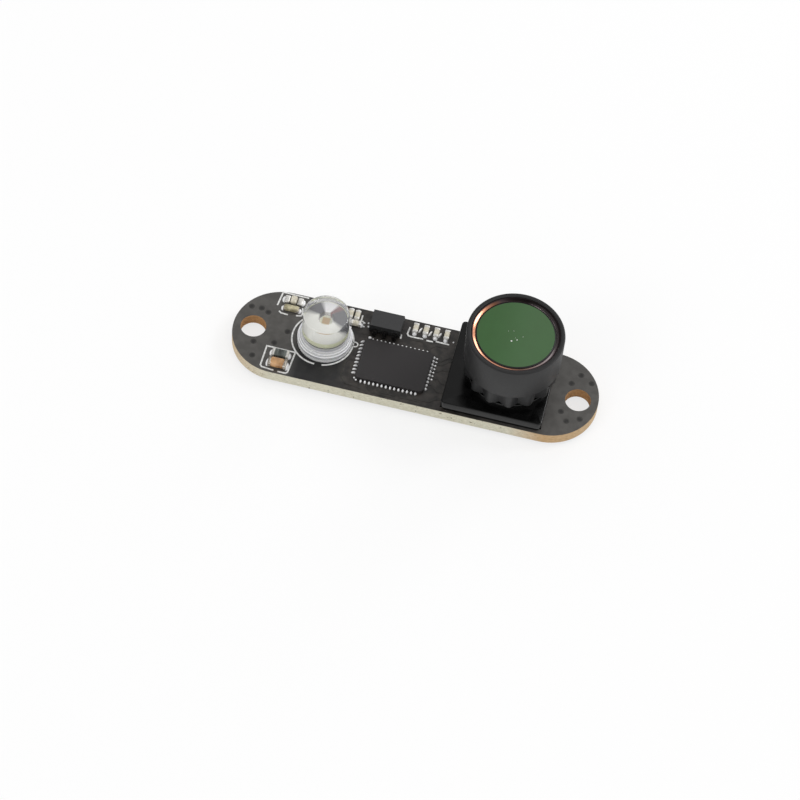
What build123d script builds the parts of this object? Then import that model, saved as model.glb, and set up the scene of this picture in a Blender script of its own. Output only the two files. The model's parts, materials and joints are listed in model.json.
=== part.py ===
from build123d import *
import os
from math import cos, radians, sin

os.makedirs("parts", exist_ok=True)

# Camera module on a narrow round-ended board. Millimetres.
# Origin: midway between the two mounting holes, on the board's underside.
# +X runs from the lamp to the lens, +Z up out of the board.

# Board
BOARD_LENGTH = 34.8
BOARD_WIDTH = 9.25
BOARD_THICKNESS = 1.2
HOLE_TO_END = 1.9
HOLE_DIAMETER = 2.4

# Lamp: clear flanged LED with two square leads
LED_X = -8.7
LED_Y = 0.25
LED_FLANGE_DIAMETER = 5.15
LED_FLANGE_HEIGHT = 1.0
LED_BODY_DIAMETER = 4.4
LED_BODY_HEIGHT = 4.25
LED_BODY_DRAFT = 0.05
LED_DOME_RISE = 0.3
LED_SHOULDER = 0.25
LED_LEAD_WIDTH = 0.5
LED_LEAD_SPACING = 2.54
LED_FRAME_TOP = 2.45
LED_STRIP_THICKNESS = 0.3
LED_CUP_DIAMETER = 1.0
LED_CUP_DEPTH = 0.35
LED_CUP_WALL = 0.12
LED_FRAME_GAP = 0.25
LED_HOLE_DIAMETER = 0.9
LED_STUB_LENGTH = 0.4
LED_JOINT_DIAMETER = 1.6
LED_JOINT_HEIGHT = 0.3
LED_JOINT_FILL = 0.9

# Main chip: thin leadless package, 14 by 10 pads
CHIP_X = -1.78
CHIP_Y = -1.0
CHIP_LENGTH = 6.5
CHIP_WIDTH = 4.5
CHIP_HEIGHT = 0.35
CHIP_STANDOFF = 0.05
CHIP_CORNER = 0.4
PAD_PITCH = 0.4
PADS_LONG_SIDE = 14
PADS_SHORT_SIDE = 10
PAD_WIDTH = 0.22
PAD_LENGTH = 0.45
PAD_THICKNESS = 0.15
GROUND_PAD_LENGTH = 4.6
GROUND_PAD_WIDTH = 2.6
FILLET_REACH = 0.36

# Regulator: six-lead gull-wing package
REGULATOR_X = -3.46
REGULATOR_Y = 3.18
REGULATOR_LENGTH = 3.05
REGULATOR_WIDTH = 1.95
REGULATOR_HEIGHT = 1.15
REGULATOR_STANDOFF = 0.1
REGULATOR_DRAFT = 7.0
REGULATOR_SPAN = 2.75
LEAD_PITCH = 0.95
LEAD_WIDTH = 0.4
LEAD_THICKNESS = 0.15
LEAD_FOOT = 0.22

# Chip parts: name, centre, length, width, height, turned upright or not
CAP_WALL = 0.03
CHIP_PARTS = {
    "front_capacitor": dict(at=[(-12.25, -3.65)], size=(1.75, 0.9, 0.75), cap=0.32, upright=False),
    "front_resistor": dict(at=[(-12.25, -2.5)], size=(1.6, 0.8, 0.45), cap=0.3, upright=False),
    "corner_ferrite": dict(at=[(-12.55, 3.72)], size=(1.75, 0.8, 0.45), cap=0.5, upright=False),
    "corner_capacitor": dict(at=[(-12.55, 2.72)], size=(1.5, 0.6, 0.5), cap=0.3, upright=False),
    "lamp_resistors": dict(at=[(-6.4, 3.66), (-7.05, 3.7)], size=(1.0, 0.5, 0.35), cap=0.25, upright=True),
    "clock_capacitor": dict(at=[(-6.35, 2.72)], size=(1.0, 0.5, 0.45), cap=0.25, upright=False),
}
ROW_PITCH = 1.0
ROW_COUNT = 4
ROW_X = -0.8
ROW_Y = 3.66
ROW_LENGTH = 1.0
ROW_WIDTH = 0.5
ROW_HEIGHT = 0.45
ROW_CAP = 0.25

# Lens holder: square base, lower skirt set in, round threaded collar
BASE_X = 8.1
BASE_SIDE = 9.5
BASE_TOP = 1.3
BASE_CORNER = 0.4
BASE_EDGE = 0.12
SKIRT_HEIGHT = 0.55
SKIRT_INSET_X = 0.12
SKIRT_INSET_Y = 0.2
ROOM_SIDE = 7.6
ROOM_HEIGHT = 0.75
COLLAR_TOP = 2.05
COLLAR_WALL = 0.47
PEG_DIAMETER = 1.0
PEG_CLEARANCE = 0.025
PEG_LENGTH = 1.0
PEG_OFFSET_X = 3.95
PEG_OFFSET_Y = 3.45

# Lens barrel, heights above the board's top face
LENS_X = 8.85
LENS_Y = 0.25
THREAD_DIAMETER = 7.0
THREAD_CLEARANCE = 0.03
THREAD_END = 0.95
GRIP_BOTTOM = 2.2
GRIP_TEETH = 14
GRIP_TIP_DIAMETER = 8.65
GRIP_ROOT_DIAMETER = 7.6
GRIP_TIP_FLAT = 4.0
GRIP_PHASE = 22.1
HEAD_BOTTOM = 4.1
HEAD_TOP = 7.9
HEAD_DIAMETER = 9.0
HEAD_CHAMFER = 0.14
RIM_WALL = 0.42
SEAT_FIT = 0.02
GLASS_SEAT = 6.8
GLASS_EDGE_TOP = 7.62
GLASS_OPEN_DIAMETER = 7.3
GLASS_BEVEL = 0.1
RING_HEIGHT = 0.2
RING_LIP = 0.1
UPPER_BORE = 6.8
MIDDLE_SEAT = 5.0
MIDDLE_LENS_EDGE = 0.9
MIDDLE_LENS_SAG = 0.35
MIDDLE_LENS_CLEAR = 4.4
SPACER_WALL = 0.4
STOP_DIAMETER = 3.2
STOP_BOTTOM = 4.4
LOWER_BORE = 4.6
REAR_LENS_EDGE = 1.0
REAR_LENS_SAG = 0.3
RETAINER_HEIGHT = 0.5
RETAINER_WALL = 0.6
FILTER_THICKNESS = 0.3

# Image sensor under the lens
SENSOR_LENGTH = 5.2
SENSOR_WIDTH = 4.8
SENSOR_HEIGHT = 0.4
SENSOR_GLASS_BORDER = 0.4
SENSOR_GLASS_THICKNESS = 0.2
SENSOR_PADS = 8
SENSOR_PAD_PITCH = 0.55
SENSOR_PAD_WIDTH = 0.3
SENSOR_PAD_REACH = 0.25
SENSOR_PAD_HEIGHT = 0.15

# Bare solder lands for the lead wires, on the underside
LAND_COUNT = 4
LAND_PITCH = 1.5
LAND_LENGTH = 2.2
LAND_WIDTH = 0.9
LAND_THICKNESS = 0.05
LAND_X = -1.0
LAND_Y = -1.6

TOP = BOARD_THICKNESS
HOLE_SPACING = BOARD_LENGTH - 2 * HOLE_TO_END
OVERCUT = 1.0


def block(x0, x1, y0, y1, z0, z1):
    """A box given by its two corners."""
    return Pos((x0 + x1) / 2, (y0 + y1) / 2, (z0 + z1) / 2) * Box(x1 - x0, y1 - y0, z1 - z0)


def disc(x, y, z0, z1, diameter):
    """A round bar on a vertical axis."""
    return Pos(x, y, (z0 + z1) / 2) * Cylinder(diameter / 2, z1 - z0)


def turned(x, y, z, *curves):
    """A closed outline of (radius, height) lines and arcs turned about a vertical axis at x, y."""
    edges = [edge for curve in curves for edge in curve.edges()]
    return Pos(x, y, z) * revolve(Plane.XZ * make_face(edges), Axis.Z, 360)


def crown(radius, z, rise):
    """A spherical arc from (radius, z) in to the axis at z + rise."""
    sphere = (radius**2 + rise**2) / (2 * rise)
    return RadiusArc((radius, z), (0, z + rise), -sphere)


def write(shape, name):
    """Writes one node."""
    export_step(shape, f"parts/{name}.step")


def peg_places():
    """Centres of the holder's two pegs, on a diagonal of its base."""
    return [(BASE_X - PEG_OFFSET_X, LENS_Y + PEG_OFFSET_Y), (BASE_X + PEG_OFFSET_X, LENS_Y - PEG_OFFSET_Y)]


def lead_places():
    """Centres of the lamp's two leads."""
    return [(LED_X - LED_LEAD_SPACING / 2, LED_Y), (LED_X + LED_LEAD_SPACING / 2, LED_Y)]


def circuit_board():
    """Round-ended board with its mounting holes, lead holes and peg holes."""
    outline = SlotOverall(BOARD_LENGTH, BOARD_WIDTH)
    board = extrude(outline, BOARD_THICKNESS)
    holes = [(side * HOLE_SPACING / 2, 0, HOLE_DIAMETER) for side in (-1, 1)]
    holes += [(x, y, LED_HOLE_DIAMETER) for x, y in lead_places()]
    holes += [(x, y, PEG_DIAMETER + 2 * PEG_CLEARANCE) for x, y in peg_places()]
    for x, y, diameter in holes:
        board -= disc(x, y, -OVERCUT, TOP + OVERCUT, diameter)
    return board


def cable_lands():
    """Four bare lands under the board, where lead wires are soldered."""
    lands = []
    for i in range(LAND_COUNT):
        x = LAND_X + (i - (LAND_COUNT - 1) / 2) * LAND_PITCH
        lands.append(
            block(
                x - LAND_WIDTH / 2, x + LAND_WIDTH / 2,
                LAND_Y - LAND_LENGTH / 2, LAND_Y + LAND_LENGTH / 2,
                -LAND_THICKNESS, 0,
            )
        )
    return Compound(lands)


def led_cup_blank():
    """The lamp's reflector cup before its hollow is cut."""
    return disc(
        LED_X, LED_Y,
        TOP + LED_FRAME_TOP - LED_CUP_DEPTH - LED_CUP_WALL, TOP + LED_FRAME_TOP,
        LED_CUP_DIAMETER + 2 * LED_CUP_WALL,
    )


def led_phosphor():
    """The die under its phosphor, filling the cup to its brim."""
    bottom = LED_CUP_DIAMETER * 0.35
    z0 = LED_FRAME_TOP - LED_CUP_DEPTH
    outline = Polyline(
        (0, z0), (bottom, z0), (LED_CUP_DIAMETER / 2, LED_FRAME_TOP), (0, LED_FRAME_TOP), close=True
    )
    return turned(LED_X, LED_Y, TOP, outline)


def led_strip(x, y, inner_x):
    """One lead of the frame: a square leg through the board and a flat strip inwards at its top."""
    half = LED_LEAD_WIDTH / 2
    leg = block(x - half, x + half, y - half, y + half, -LED_STUB_LENGTH, TOP + LED_FRAME_TOP)
    x0, x1 = sorted((x, inner_x))
    arm = block(x0, x1, y - half, y + half, TOP + LED_FRAME_TOP - LED_STRIP_THICKNESS, TOP + LED_FRAME_TOP)
    return leg + arm


def led_cup_lead():
    """The lead that carries the reflector cup."""
    x, y = lead_places()[0]
    return led_strip(x, y, LED_X) + led_cup_blank() - led_phosphor()


def led_post_lead():
    """The second lead, whose short arm stops beside the cup."""
    x, y = lead_places()[1]
    cup_edge = LED_X + LED_CUP_DIAMETER / 2 + LED_CUP_WALL
    return led_strip(x, y, cup_edge + LED_FRAME_GAP)


def led_body():
    """Clear moulded body: thin flange, slightly drafted barrel, cut shoulder and low dome."""
    foot = LED_BODY_DIAMETER / 2
    head = foot - LED_BODY_DRAFT
    flange = LED_FLANGE_DIAMETER / 2
    brow = head - LED_SHOULDER
    lines = [
        Polyline((0, 0), (flange, 0), (flange, LED_FLANGE_HEIGHT), (foot, LED_FLANGE_HEIGHT)),
        Polyline((foot, LED_FLANGE_HEIGHT), (head, LED_BODY_HEIGHT - LED_SHOULDER), (brow, LED_BODY_HEIGHT)),
        crown(brow, LED_BODY_HEIGHT, LED_DOME_RISE),
        Line((0, LED_BODY_HEIGHT + LED_DOME_RISE), (0, 0)),
    ]
    body = turned(LED_X, LED_Y, TOP, *lines)
    return body - led_cup_lead() - led_post_lead() - led_phosphor()


def led_solder_joints():
    """Solder in the two lead holes, with a low cone under the board."""
    joints = []
    for x, y in lead_places():
        hole = LED_HOLE_DIAMETER / 2
        outline = Polyline(
            (0, LED_JOINT_FILL), (hole, LED_JOINT_FILL), (hole, 0), (LED_JOINT_DIAMETER / 2, 0),
            (LED_LEAD_WIDTH * 0.8, -LED_JOINT_HEIGHT), (0, -LED_JOINT_HEIGHT), close=True,
        )
        half = LED_LEAD_WIDTH / 2
        leg = block(x - half, x + half, y - half, y + half, -LED_STUB_LENGTH - OVERCUT, TOP)
        joints.append(turned(x, y, 0, outline) - leg)
    return Compound([solid for joint in joints for solid in joint.solids()])


def pad_places():
    """Centre of each pad's outer end on the package's edge, with its outward angle."""
    places = []
    for i in range(PADS_LONG_SIDE):
        x = CHIP_X + (i - (PADS_LONG_SIDE - 1) / 2) * PAD_PITCH
        places.append((x, CHIP_Y - CHIP_WIDTH / 2, -90))
        places.append((x, CHIP_Y + CHIP_WIDTH / 2, 90))
    for i in range(PADS_SHORT_SIDE):
        y = CHIP_Y + (i - (PADS_SHORT_SIDE - 1) / 2) * PAD_PITCH
        places.append((CHIP_X - CHIP_LENGTH / 2, y, 180))
        places.append((CHIP_X + CHIP_LENGTH / 2, y, 0))
    return places


def main_chip_pads():
    """The package's own pads and the ground pad at its middle, flush with its underside."""
    bottom = TOP + CHIP_STANDOFF
    pad = block(-PAD_LENGTH, 0, -PAD_WIDTH / 2, PAD_WIDTH / 2, 0, PAD_THICKNESS)
    pads = [Pos(x, y, bottom) * Rot(0, 0, angle) * pad for x, y, angle in pad_places()]
    ground = Pos(CHIP_X, CHIP_Y, bottom + PAD_THICKNESS / 2) * Box(
        GROUND_PAD_LENGTH, GROUND_PAD_WIDTH, PAD_THICKNESS
    )
    return Compound(pads + [ground])


def main_chip():
    """Moulded package with rounded corners, moulded round its pads."""
    bottom = TOP + CHIP_STANDOFF
    body = Pos(CHIP_X, CHIP_Y, bottom) * extrude(
        RectangleRounded(CHIP_LENGTH, CHIP_WIDTH, CHIP_CORNER), CHIP_HEIGHT
    )
    return body - main_chip_pads()


def main_chip_solder():
    """A solder fillet at each pad, running out over its land, and a film under the ground pad."""
    profile = Polyline(
        (-PAD_LENGTH, 0), (FILLET_REACH, 0), (0, CHIP_STANDOFF + PAD_THICKNESS),
        (0, CHIP_STANDOFF), (-PAD_LENGTH, CHIP_STANDOFF), close=True,
    )
    fillet_solid = extrude(Plane.XZ * make_face(profile), PAD_WIDTH / 2, both=True)
    fillets = [Pos(x, y, TOP) * Rot(0, 0, angle) * fillet_solid for x, y, angle in pad_places()]
    film = Pos(CHIP_X, CHIP_Y, TOP + CHIP_STANDOFF / 2) * Box(
        GROUND_PAD_LENGTH, GROUND_PAD_WIDTH, CHIP_STANDOFF
    )
    return Compound(fillets + [film])


def regulator_leads():
    """Six gull-wing leads: out of the body at its parting line, down and along the board."""
    parting = REGULATOR_STANDOFF + (REGULATOR_HEIGHT - REGULATOR_STANDOFF) / 2
    reach = (REGULATOR_SPAN - REGULATOR_WIDTH) / 2
    low = parting - LEAD_THICKNESS / 2
    high = parting + LEAD_THICKNESS / 2
    knee = reach - LEAD_FOOT
    inside = -REGULATOR_WIDTH / 6
    profile = Polyline(
        (inside, low), (knee - LEAD_THICKNESS, low), (knee - LEAD_THICKNESS / 2, 0), (reach, 0),
        (reach, LEAD_THICKNESS), (knee + LEAD_THICKNESS / 2, LEAD_THICKNESS),
        (knee, high), (inside, high), close=True,
    )
    lead = extrude(Plane.XZ * make_face(profile), LEAD_WIDTH / 2, both=True)
    leads = []
    for side in (-1, 1):
        for i in (-1, 0, 1):
            at = Pos(REGULATOR_X + i * LEAD_PITCH, REGULATOR_Y + side * REGULATOR_WIDTH / 2, TOP)
            leads.append(at * Rot(0, 0, side * 90) * lead)
    return Compound(leads)


def regulator_body():
    """Moulded body, drafted both ways from its parting line."""
    parting = TOP + REGULATOR_STANDOFF + (REGULATOR_HEIGHT - REGULATOR_STANDOFF) / 2
    half = (REGULATOR_HEIGHT - REGULATOR_STANDOFF) / 2
    section = Rectangle(REGULATOR_LENGTH, REGULATOR_WIDTH)
    upper = extrude(section, half, taper=REGULATOR_DRAFT)
    lower = mirror(upper, Plane.XY)
    return Pos(REGULATOR_X, REGULATOR_Y, parting) * (upper + lower) - regulator_leads()


def chip_core(size, cap):
    """A chip part's ceramic: full section between its end caps, slimmer inside them."""
    length, width, height = size
    middle = Pos(0, 0, height / 2) * Box(length - 2 * cap, width, height)
    neck = Pos(0, 0, height / 2) * Box(length - 2 * CAP_WALL, width - 2 * CAP_WALL, height - 2 * CAP_WALL)
    return middle + neck


def chip_caps(size, cap):
    """The two plated end caps of a chip part."""
    length, width, height = size
    core = chip_core(size, cap)
    caps = []
    for side in (-1, 1):
        end = Pos(side * (length - cap) / 2, 0, height / 2) * Box(cap, width, height)
        caps.append(end - core)
    return caps


def chip_group(places, size, cap, upright):
    """Ceramic bodies and end caps of one kind of chip part at its places."""
    turn = Rot(0, 0, 90 if upright else 0)
    core = chip_core(size, cap)
    caps = chip_caps(size, cap)
    bodies = [Pos(x, y, TOP) * turn * core for x, y in places]
    ends = [Pos(x, y, TOP) * turn * one for x, y in places for one in caps]
    return Compound(bodies), Compound(ends)


def lens_holder():
    """Square base over the sensor, set-in skirt, threaded collar and two pegs into the board."""
    side = BASE_SIDE
    centre = Pos(BASE_X, LENS_Y, TOP)
    plate = Pos(0, 0, SKIRT_HEIGHT) * extrude(
        RectangleRounded(side, side, BASE_CORNER), BASE_TOP - SKIRT_HEIGHT
    )
    plate = chamfer(plate.faces().sort_by(Axis.Z)[-1].edges(), BASE_EDGE)
    skirt = extrude(Rectangle(side - 2 * SKIRT_INSET_X, side - 2 * SKIRT_INSET_Y), SKIRT_HEIGHT)
    bore = THREAD_DIAMETER + 2 * THREAD_CLEARANCE
    holder = centre * (plate + skirt)
    holder += disc(LENS_X, LENS_Y, TOP + SKIRT_HEIGHT, TOP + COLLAR_TOP, bore + 2 * COLLAR_WALL)
    holder -= disc(LENS_X, LENS_Y, TOP, TOP + COLLAR_TOP + OVERCUT, bore)
    holder -= centre * Pos(0, 0, (ROOM_HEIGHT - OVERCUT) / 2) * Box(
        ROOM_SIDE, ROOM_SIDE, ROOM_HEIGHT + OVERCUT
    )
    for x, y in peg_places():
        holder += disc(x, y, TOP - PEG_LENGTH, TOP + SKIRT_HEIGHT, PEG_DIAMETER)
    return holder


def grip_outline():
    """Pointed grip teeth: a closed line between the root and tip circles."""
    tip = GRIP_TIP_DIAMETER / 2
    root = GRIP_ROOT_DIAMETER / 2
    step = 360 / GRIP_TEETH
    points = []
    for i in range(GRIP_TEETH):
        middle = GRIP_PHASE + i * step
        for angle, radius in (
            (middle - step / 2, root),
            (middle - GRIP_TIP_FLAT / 2, tip),
            (middle + GRIP_TIP_FLAT / 2, tip),
        ):
            points.append((radius * cos(radians(angle)), radius * sin(radians(angle))))
    return Polyline(*points, close=True)


def lens_barrel():
    """One turned barrel: thread, toothed grip, smooth head and the stepped bore for the glass."""
    head = HEAD_DIAMETER / 2
    thread = THREAD_DIAMETER / 2
    root = GRIP_ROOT_DIAMETER / 2
    rim = head - RIM_WALL
    upper = UPPER_BORE / 2
    stop = STOP_DIAMETER / 2
    lower = LOWER_BORE / 2
    outline = Polyline(
        (lower, THREAD_END), (thread, THREAD_END), (thread, GRIP_BOTTOM), (root, GRIP_BOTTOM),
        (root, HEAD_BOTTOM), (head, HEAD_BOTTOM), (head, HEAD_TOP - HEAD_CHAMFER),
        (head - HEAD_CHAMFER, HEAD_TOP), (rim, HEAD_TOP), (rim, GLASS_SEAT), (upper, GLASS_SEAT),
        (upper, MIDDLE_SEAT), (stop, MIDDLE_SEAT), (stop, STOP_BOTTOM), (lower, STOP_BOTTOM), close=True,
    )
    barrel = turned(LENS_X, LENS_Y, TOP, outline)
    grip = extrude(make_face(grip_outline()), HEAD_BOTTOM - GRIP_BOTTOM)
    grip -= Pos(0, 0, (HEAD_BOTTOM - GRIP_BOTTOM) / 2) * Cylinder(
        (root + thread) / 2, HEAD_BOTTOM - GRIP_BOTTOM + OVERCUT
    )
    return barrel + Pos(LENS_X, LENS_Y, TOP + GRIP_BOTTOM) * grip


def front_glass():
    """Coated front window: a flat face inside a bevel, with a step for the ring round it."""
    edge = HEAD_DIAMETER / 2 - RIM_WALL - SEAT_FIT
    clear = GLASS_OPEN_DIAMETER / 2
    top = GLASS_EDGE_TOP + GLASS_BEVEL
    outline = Polyline(
        (0, GLASS_SEAT), (edge, GLASS_SEAT), (edge, GLASS_EDGE_TOP), (clear, GLASS_EDGE_TOP),
        (clear - GLASS_BEVEL, top), (0, top), close=True,
    )
    return turned(LENS_X, LENS_Y, TOP, outline)


def glass_ring():
    """Retaining ring on the glass's edge, its inner side cut to a bevel."""
    edge = HEAD_DIAMETER / 2 - RIM_WALL - SEAT_FIT
    clear = GLASS_OPEN_DIAMETER / 2
    top = GLASS_EDGE_TOP + RING_HEIGHT
    outline = Polyline(
        (clear, GLASS_EDGE_TOP), (edge, GLASS_EDGE_TOP), (edge, top), (edge - RING_LIP, top),
        (clear, GLASS_EDGE_TOP + RING_HEIGHT / 4), close=True,
    )
    return turned(LENS_X, LENS_Y, TOP, outline)


def lens_spacer():
    """Plain ring between the front glass and the middle element."""
    outer = UPPER_BORE / 2 - SEAT_FIT
    inner = outer - SPACER_WALL
    z0 = MIDDLE_SEAT + MIDDLE_LENS_EDGE
    outline = Polyline((inner, z0), (outer, z0), (outer, GLASS_SEAT), (inner, GLASS_SEAT), close=True)
    return turned(LENS_X, LENS_Y, TOP, outline)


def element(z0, edge_radius, edge_height, sag, clear):
    """A lens element flat below and crowned above inside its clear radius, with a flat rim for its seats."""
    z1 = z0 + edge_height
    outline = [
        Polyline((0, z0), (edge_radius, z0), (edge_radius, z1), (clear, z1)),
        crown(clear, z1, sag),
        Line((0, z1 + sag), (0, z0)),
    ]
    return turned(LENS_X, LENS_Y, TOP, *outline)


def middle_lens():
    """Middle element, seated on the step above the stop."""
    edge = UPPER_BORE / 2 - SEAT_FIT
    return element(MIDDLE_SEAT, edge, MIDDLE_LENS_EDGE, MIDDLE_LENS_SAG, MIDDLE_LENS_CLEAR / 2)


def rear_lens():
    """Rear element, held up against the underside of the stop."""
    z0 = STOP_BOTTOM - REAR_LENS_EDGE
    return element(z0, LOWER_BORE / 2 - SEAT_FIT, REAR_LENS_EDGE, REAR_LENS_SAG, STOP_DIAMETER / 2)


def rear_retainer():
    """Ring that holds the rear element in."""
    outer = LOWER_BORE / 2 - SEAT_FIT
    inner = outer - RETAINER_WALL
    z1 = STOP_BOTTOM - REAR_LENS_EDGE
    z0 = z1 - RETAINER_HEIGHT
    outline = Polyline((inner, z0), (outer, z0), (outer, z1), (inner, z1), close=True)
    return turned(LENS_X, LENS_Y, TOP, outline)


def infrared_filter():
    """Thin filter disc in the barrel's rear mouth."""
    return disc(LENS_X, LENS_Y, TOP + THREAD_END, TOP + THREAD_END + FILTER_THICKNESS, LOWER_BORE - 2 * SEAT_FIT)


def image_sensor():
    """Ceramic sensor carrier on the board."""
    return block(
        LENS_X - SENSOR_LENGTH / 2, LENS_X + SENSOR_LENGTH / 2,
        LENS_Y - SENSOR_WIDTH / 2, LENS_Y + SENSOR_WIDTH / 2,
        TOP, TOP + SENSOR_HEIGHT,
    )


def sensor_cover_glass():
    """Cover glass on the sensor carrier."""
    length = SENSOR_LENGTH - 2 * SENSOR_GLASS_BORDER
    width = SENSOR_WIDTH - 2 * SENSOR_GLASS_BORDER
    z = TOP + SENSOR_HEIGHT + SENSOR_GLASS_THICKNESS / 2
    return Pos(LENS_X, LENS_Y, z) * Box(length, width, SENSOR_GLASS_THICKNESS)


def sensor_solder():
    """Solder fillets along the two long sides of the sensor carrier."""
    fillets = []
    for side in (-1, 1):
        for i in range(SENSOR_PADS):
            x = LENS_X + (i - (SENSOR_PADS - 1) / 2) * SENSOR_PAD_PITCH
            y0 = LENS_Y + side * SENSOR_WIDTH / 2
            y1 = y0 + side * SENSOR_PAD_REACH
            fillets.append(
                block(
                    x - SENSOR_PAD_WIDTH / 2, x + SENSOR_PAD_WIDTH / 2,
                    min(y0, y1), max(y0, y1), TOP, TOP + SENSOR_PAD_HEIGHT,
                )
            )
    return Compound(fillets)


for build_node in (
    circuit_board, cable_lands,
    led_body, led_cup_lead, led_post_lead, led_phosphor, led_solder_joints,
    main_chip, main_chip_pads, main_chip_solder,
    regulator_body, regulator_leads,
    lens_holder, lens_barrel, front_glass, glass_ring, lens_spacer,
    middle_lens, rear_lens, rear_retainer, infrared_filter,
    image_sensor, sensor_cover_glass, sensor_solder,
):
    write(build_node(), build_node.__name__)

for name, spec in CHIP_PARTS.items():
    bodies, ends = chip_group(spec["at"], spec["size"], spec["cap"], spec["upright"])
    write(bodies, name)
    write(ends, f"{name}_ends")

row = [(ROW_X + i * ROW_PITCH, ROW_Y) for i in range(ROW_COUNT)]
bodies, ends = chip_group(row, (ROW_LENGTH, ROW_WIDTH, ROW_HEIGHT), ROW_CAP, True)
write(bodies, "row_capacitors")
write(ends, "row_capacitors_ends")
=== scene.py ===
import bmesh
import bpy
import json
from math import cos, hypot, pi, radians, sin
from mathutils import Matrix, Vector


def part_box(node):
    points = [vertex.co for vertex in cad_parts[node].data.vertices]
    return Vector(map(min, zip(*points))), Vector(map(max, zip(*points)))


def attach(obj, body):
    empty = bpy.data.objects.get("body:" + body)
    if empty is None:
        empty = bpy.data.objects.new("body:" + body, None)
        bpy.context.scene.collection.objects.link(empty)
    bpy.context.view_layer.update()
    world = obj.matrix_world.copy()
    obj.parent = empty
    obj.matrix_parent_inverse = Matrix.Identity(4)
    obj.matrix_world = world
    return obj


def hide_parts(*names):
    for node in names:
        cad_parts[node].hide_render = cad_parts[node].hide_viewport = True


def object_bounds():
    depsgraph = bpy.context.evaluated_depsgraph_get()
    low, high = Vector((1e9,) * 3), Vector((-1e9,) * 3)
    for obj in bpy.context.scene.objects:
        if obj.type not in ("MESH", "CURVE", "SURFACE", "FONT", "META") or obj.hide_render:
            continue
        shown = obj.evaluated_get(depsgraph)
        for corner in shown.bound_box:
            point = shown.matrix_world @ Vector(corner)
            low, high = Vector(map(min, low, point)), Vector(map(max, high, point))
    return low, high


# Looks of a small camera module. Lengths are millimetres and turn to metres when a piece is
# finished. Places come from the frame's nodes.
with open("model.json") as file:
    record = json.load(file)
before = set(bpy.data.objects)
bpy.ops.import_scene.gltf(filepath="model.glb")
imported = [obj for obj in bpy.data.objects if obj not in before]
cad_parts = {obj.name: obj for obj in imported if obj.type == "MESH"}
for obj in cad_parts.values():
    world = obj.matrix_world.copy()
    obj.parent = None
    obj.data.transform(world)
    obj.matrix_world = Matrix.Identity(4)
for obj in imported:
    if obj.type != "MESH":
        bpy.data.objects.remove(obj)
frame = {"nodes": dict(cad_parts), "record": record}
cad_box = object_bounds()

MM = 0.001
WELD = 0.0004
LATHE_STEPS = 112
GRIP_STEPS = 168


def box_mm(node):
    """Lowest and highest corner of a node in millimetres."""
    low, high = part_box(node)
    return low / MM, high / MM


def solid_boxes(node):
    """Box of each separate solid in a node, from left to right."""
    bm = bmesh.new()
    bm.from_mesh(frame["nodes"][node].data)
    bmesh.ops.scale(bm, vec=(1 / MM,) * 3, verts=bm.verts)
    bmesh.ops.remove_doubles(bm, verts=bm.verts, dist=WELD)
    left = set(bm.verts)
    boxes = []
    while left:
        queue = [left.pop()]
        found = []
        while queue:
            vert = queue.pop()
            found.append(vert.co.copy())
            near = {edge.other_vert(vert) for edge in vert.link_edges} & left
            left -= near
            queue += near
        low = Vector([min(point[axis] for point in found) for axis in range(3)])
        high = Vector([max(point[axis] for point in found) for axis in range(3)])
        boxes.append((low, high))
    bm.free()
    return sorted(boxes, key=lambda box: (round(box[0].x, 2), round(box[0].y, 2)))


def towards(azimuth, elevation):
    """Direction at an azimuth, counted from -y towards +x, and an elevation, in degrees."""
    a, e = radians(azimuth), radians(elevation)
    return Vector((sin(a) * cos(e), -cos(a) * cos(e), sin(e)))


BOARD_LOW, BOARD_HIGH = box_mm("circuit_board")
TOP = BOARD_HIGH.z
BOARD_LENGTH = BOARD_HIGH.x - BOARD_LOW.x
HOLE_SPACING = frame["record"]["mounts"][0]["dims"]["spacing_x_mm"]
HOLE_RADIUS = frame["record"]["mounts"][0]["dims"]["hole_r_mm"]
LED_LOW, LED_HIGH = box_mm("led_body")
LED_AT = ((LED_LOW + LED_HIGH) / 2).xy
LENS_LOW, LENS_HIGH = box_mm("lens_barrel")
LENS_AT = ((LENS_LOW + LENS_HIGH) / 2).xy
GLASS_CLEAR_RADIUS = 3.65


# Camera: the photograph's place and angle

CAMERA_AZIMUTH = 8.418
CAMERA_ELEVATION = 56.387
CAMERA_ROLL = 5.936
CAMERA_DISTANCE = 276.061
CAMERA_TARGET = Vector((-0.389, -4.396, TOP))
CAMERA_LENS = 135.0


def make_camera():
    """Long lens from the front and above, rolled a little."""
    roll = radians(CAMERA_ROLL)
    back = towards(CAMERA_AZIMUTH, CAMERA_ELEVATION)
    right = (-back).cross(Vector((0, 0, 1))).normalized()
    up = right.cross(-back)
    turned_right = right * cos(roll) + up * sin(roll)
    turned_up = up * cos(roll) - right * sin(roll)
    data = bpy.data.cameras.new("camera")
    data.lens = CAMERA_LENS
    data.clip_start = 0.01
    data.clip_end = 20.0
    camera = bpy.data.objects.new("camera", data)
    bpy.context.scene.collection.objects.link(camera)
    place = Matrix.Translation((CAMERA_TARGET + back * CAMERA_DISTANCE) * MM)
    camera.matrix_world = place @ Matrix((turned_right, turned_up, back)).transposed().to_4x4()
    bpy.context.scene.camera = camera


# Light: a pale room, two square soft boxes behind to the right and one in front to the left

ROOM_LEVEL = 0.78
CEILING_LEFT = 0.5
CEILING_RIGHT = 0.9
CEILING_TURN = (-0.16, 0.03)
SKY_RISE = (0.25, 0.75)
BACK_BOX = dict(azimuth=124.0, elevation=40.0, distance=700.0, size=200.0, power=1.0)
LOW_BOX = dict(azimuth=156.0, elevation=19.0, distance=700.0, size=200.0, power=0.5)
FRONT_BOX = dict(azimuth=-38.0, elevation=38.0, distance=700.0, size=260.0, power=0.6)
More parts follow.
